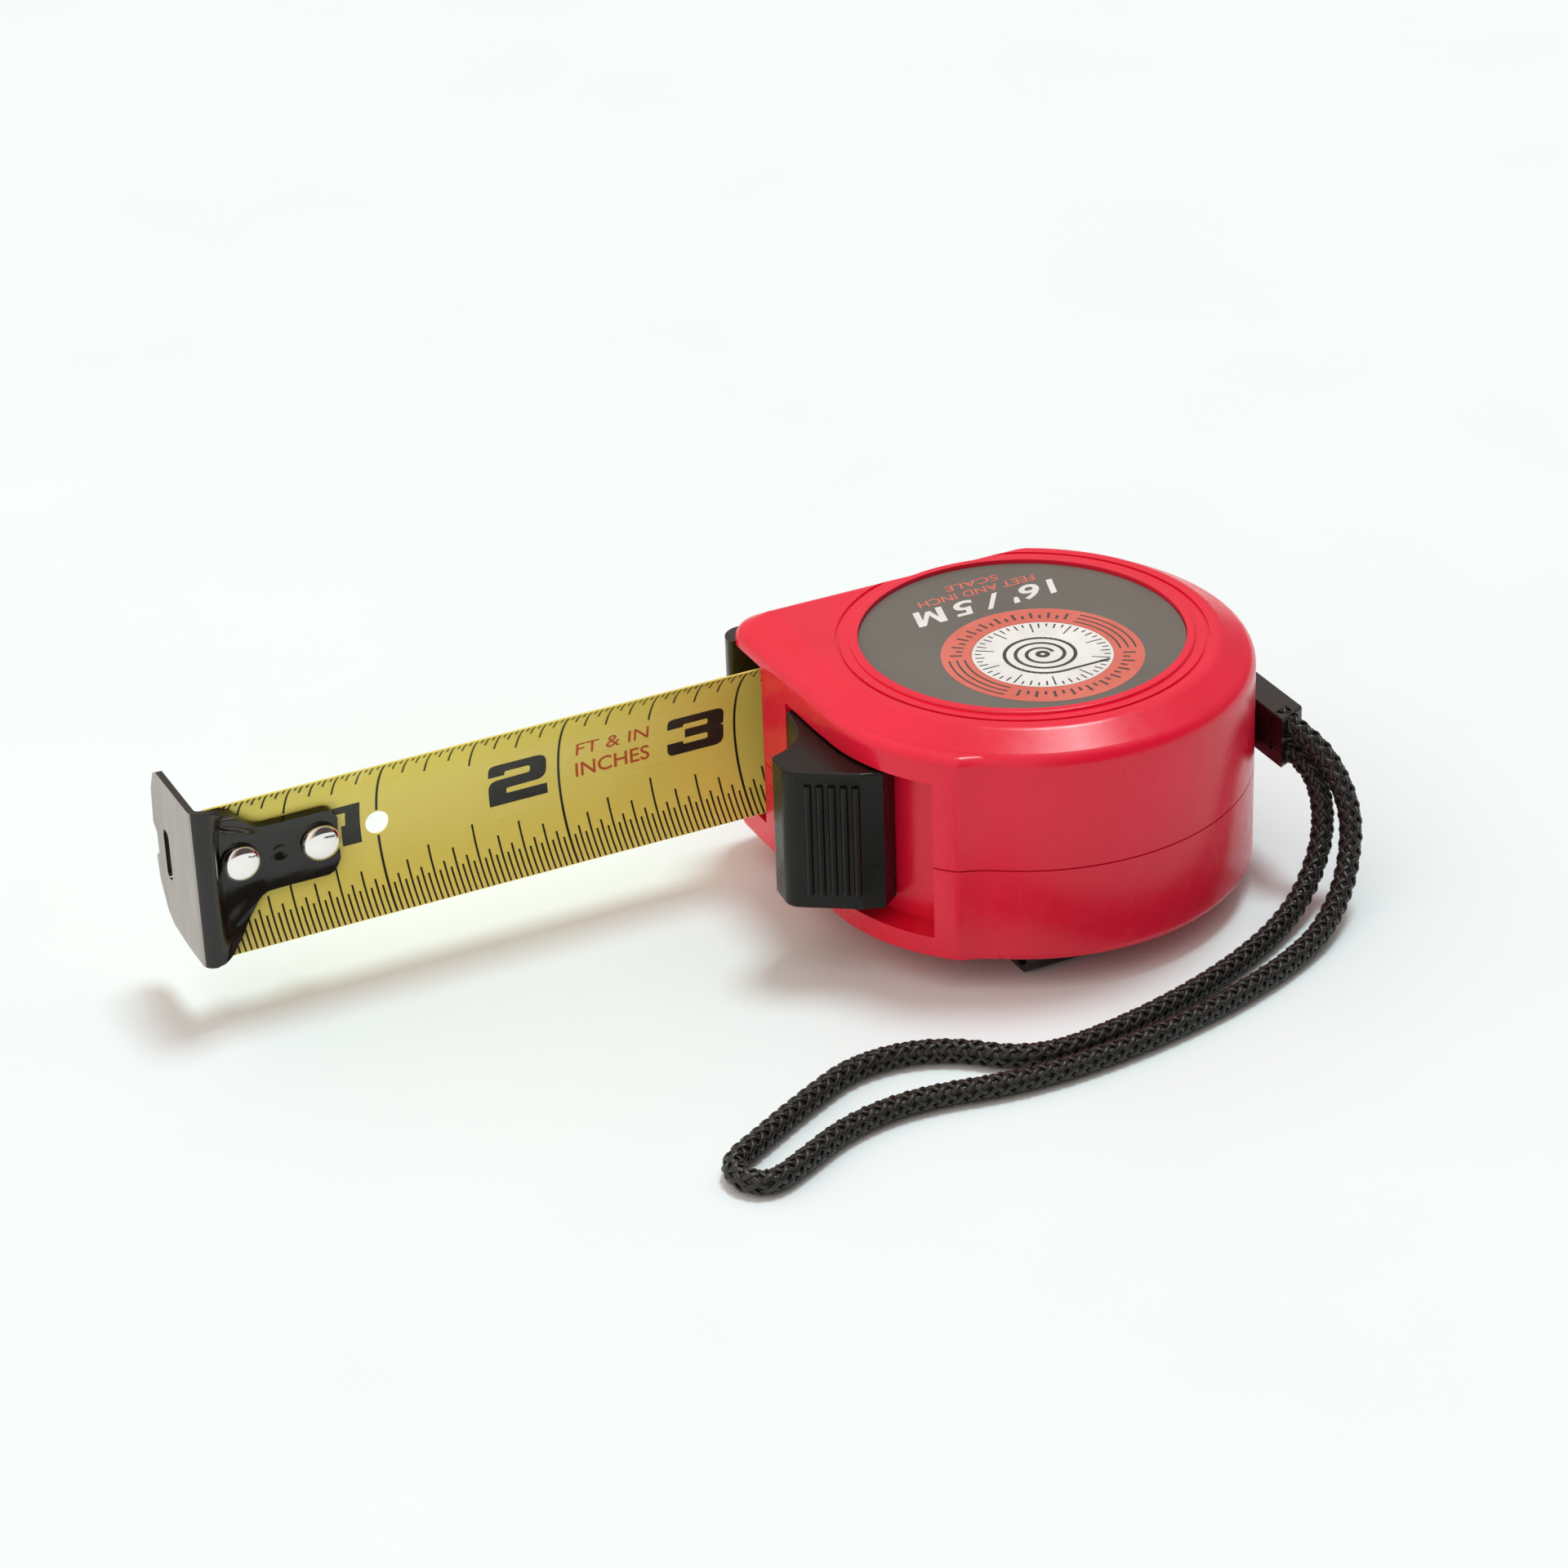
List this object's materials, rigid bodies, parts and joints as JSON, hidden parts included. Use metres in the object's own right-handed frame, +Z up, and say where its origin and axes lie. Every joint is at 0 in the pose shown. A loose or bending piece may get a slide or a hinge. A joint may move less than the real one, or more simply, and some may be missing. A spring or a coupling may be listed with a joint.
{
  "type": "tape measure",
  "caption": "Pocket tape measure with a lockable spring-wound blade, sliding end hook, belt clip and lanyard.",
  "frame": {"origin": "where the spool's axis meets the surface that the tool lies on, under the belt clip's arm", "axes": "+Z up along the spool's axis to the label; -X the way the blade is pulled out; +Y towards the case's flat base, which is its underside when it is held upright"},
  "size_m": [0.1446, 0.0858, 0.0358],
  "materials": {
    "case_red": "gloss",
    "trim_black": "gloss",
    "button_black": "gloss",
    "label": "satin, printed",
    "blade_yellow": "satin lacquer, printed scale",
    "hook_black": "gloss",
    "rivet_steel": "bright",
    "screw_steel": "zinc plated",
    "spring_steel": "blued",
    "post_steel": "turned",
    "inner_plastic": "moulded",
    "washer_plastic": "moulded",
    "pad_rubber": "matte",
    "clip_steel": "satin black",
    "cord_black": "braided"
  },
  "bodies": {
    "case": {"case_top_cover": "case_red", "case_bottom_cover": "case_red", "label_disc": "label", "nose_guard": "trim_black", "case_screws": "screw_steel", "center_post": "post_steel", "center_screw": "screw_steel", "lower_washer": "washer_plastic", "upper_washer": "washer_plastic", "belt_clip": "clip_steel", "clip_screw": "screw_steel", "lanyard_bracket": "trim_black", "lanyard_cord": "cord_black"},
    "spool": {"spool_drum": "inner_plastic", "spring_cover": "inner_plastic", "power_spring": "spring_steel", "blade_coil": "blade_yellow"},
    "blade": {"blade_outer_run": "blade_yellow", "blade_inner_run": "blade_yellow", "hook_rivets": "rivet_steel"},
    "hook": {"end_hook": "hook_black"},
    "lock": {"lock_button": "button_black", "lock_pad": "pad_rubber"}
  },
  "joints": [
    {"name": "spool_spin", "type": "hinge", "parent": "case", "child": "spool", "pos_m": [0, 0, 0], "axis": [0, 0, 1], "range_deg": [-198, 0]},
    {"name": "blade_pull", "type": "slide", "parent": "case", "child": "blade", "axis": [-1, 0, 0], "range_m": [-0.074, 0], "deforming": ["blade_inner_run", "blade_outer_run"]},
    {"name": "hook_slip", "type": "slide", "parent": "blade", "child": "hook", "axis": [1, 0, 0], "range_m": [0, 0.001]},
    {"name": "lock_slide", "type": "hinge", "parent": "case", "child": "lock", "pos_m": [0, 0, 0], "axis": [0, 0, 1], "range_deg": [0, 9.5]}
  ],
  "couplings": [
    {"joint": "blade_pull", "follows": "spool_spin", "m_per_rad": 0.0214}
  ]
}
